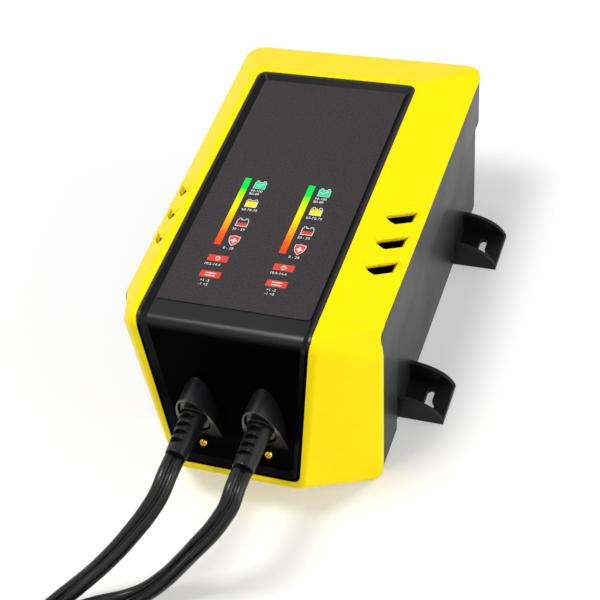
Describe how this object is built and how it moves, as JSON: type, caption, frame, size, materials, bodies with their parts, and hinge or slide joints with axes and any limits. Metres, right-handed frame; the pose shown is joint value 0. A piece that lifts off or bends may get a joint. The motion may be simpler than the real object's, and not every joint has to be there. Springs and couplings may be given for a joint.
{
  "type": "car battery charger",
  "caption": "Wall-mounted two-output car battery charger: wedge-fronted housing, dark indicator tray, keyhole lugs, twin output leads.",
  "frame": {"origin": "middle of the housing's footprint on the mounting plane, at the bottom centre of the housing's box without its leads and strain reliefs", "axes": "+Z out of the wall the housing is mounted on, +Y along the face away from the leads, +X to the right seen from the face"},
  "size_m": [0.1888, 0.512, 0.124],
  "materials": {
    "yellow_plastic": "satin, fine moulded grain",
    "black_plastic": "satin",
    "printed_film": "screen-printed film, satin",
    "diffuser": "translucent",
    "shell_plastic": "fine moulded grain",
    "seal_rubber": "matte",
    "screw_steel": "zinc plated",
    "relief_rubber": "satin",
    "gilt_brass": "gilt",
    "plated_steel": "zinc plated",
    "lead_sheath": "satin",
    "strap_fabric": "woven",
    "plug_plastic": "fine moulded grain",
    "contact_brass": "tinned",
    "inlet_plastic": "satin",
    "pin_brass": "nickel plated",
    "board_laminate": "solder mask",
    "ferrite": "sintered",
    "copper_winding": "enamelled",
    "capacitor_sleeve": "shrunk sleeve",
    "heatsink_aluminium": "extruded, satin",
    "device_epoxy": "moulded",
    "fuse_glass": "clear",
    "terminal_plastic": "moulded",
    "lead_core": "red and black cores",
    "mains_core": "brown core",
    "ribbon_sheath": "matte"
  },
  "bodies": {
    "root": {"front_cover": "yellow_plastic", "front_panel": "black_plastic", "label_overlay": "printed_film", "light_bar_left": "diffuser", "light_bar_right": "diffuser", "rear_shell": "shell_plastic", "housing_seal": "seal_rubber", "housing_screw_1": "screw_steel", "housing_screw_2": "screw_steel", "housing_screw_3": "screw_steel", "housing_screw_4": "screw_steel", "strain_relief_left": "relief_rubber", "strain_relief_right": "relief_rubber", "clamp_screw_left": "gilt_brass", "clamp_screw_right": "gilt_brass", "clamp_bar_left": "plated_steel", "clamp_bar_right": "plated_steel", "output_lead_left": "lead_sheath", "output_lead_right": "lead_sheath", "lead_coil_left": "lead_sheath", "lead_coil_right": "lead_sheath", "coil_tie_1": "strap_fabric", "coil_tie_2": "strap_fabric", "connector_left": "plug_plastic", "connector_right": "plug_plastic", "contact_left": "contact_brass", "contact_right": "contact_brass", "mains_inlet": "inlet_plastic", "inlet_pin_1": "pin_brass", "inlet_pin_2": "pin_brass", "main_board": "board_laminate", "board_screw_1": "screw_steel", "board_screw_2": "screw_steel", "board_screw_3": "screw_steel", "board_screw_4": "screw_steel", "transformer_core": "ferrite", "transformer_winding": "copper_winding", "choke_core": "ferrite", "choke_winding": "copper_winding", "bulk_capacitor_1": "capacitor_sleeve", "bulk_capacitor_2": "capacitor_sleeve", "output_capacitor_left": "capacitor_sleeve", "output_capacitor_right": "capacitor_sleeve", "heatsink_left": "heatsink_aluminium", "heatsink_right": "heatsink_aluminium", "power_device_1": "device_epoxy", "power_device_2": "device_epoxy", "power_device_3": "device_epoxy", "power_device_4": "device_epoxy", "mains_fuse": "fuse_glass", "terminal_left": "terminal_plastic", "terminal_right": "terminal_plastic", "mains_terminal": "terminal_plastic", "inner_lead_left": "lead_core", "inner_lead_right": "lead_core", "mains_wire_1": "mains_core", "mains_wire_2": "mains_core", "indicator_board": "board_laminate", "panel_screws": "screw_steel", "ribbon_cable": "ribbon_sheath"}
  },
  "joints": []
}
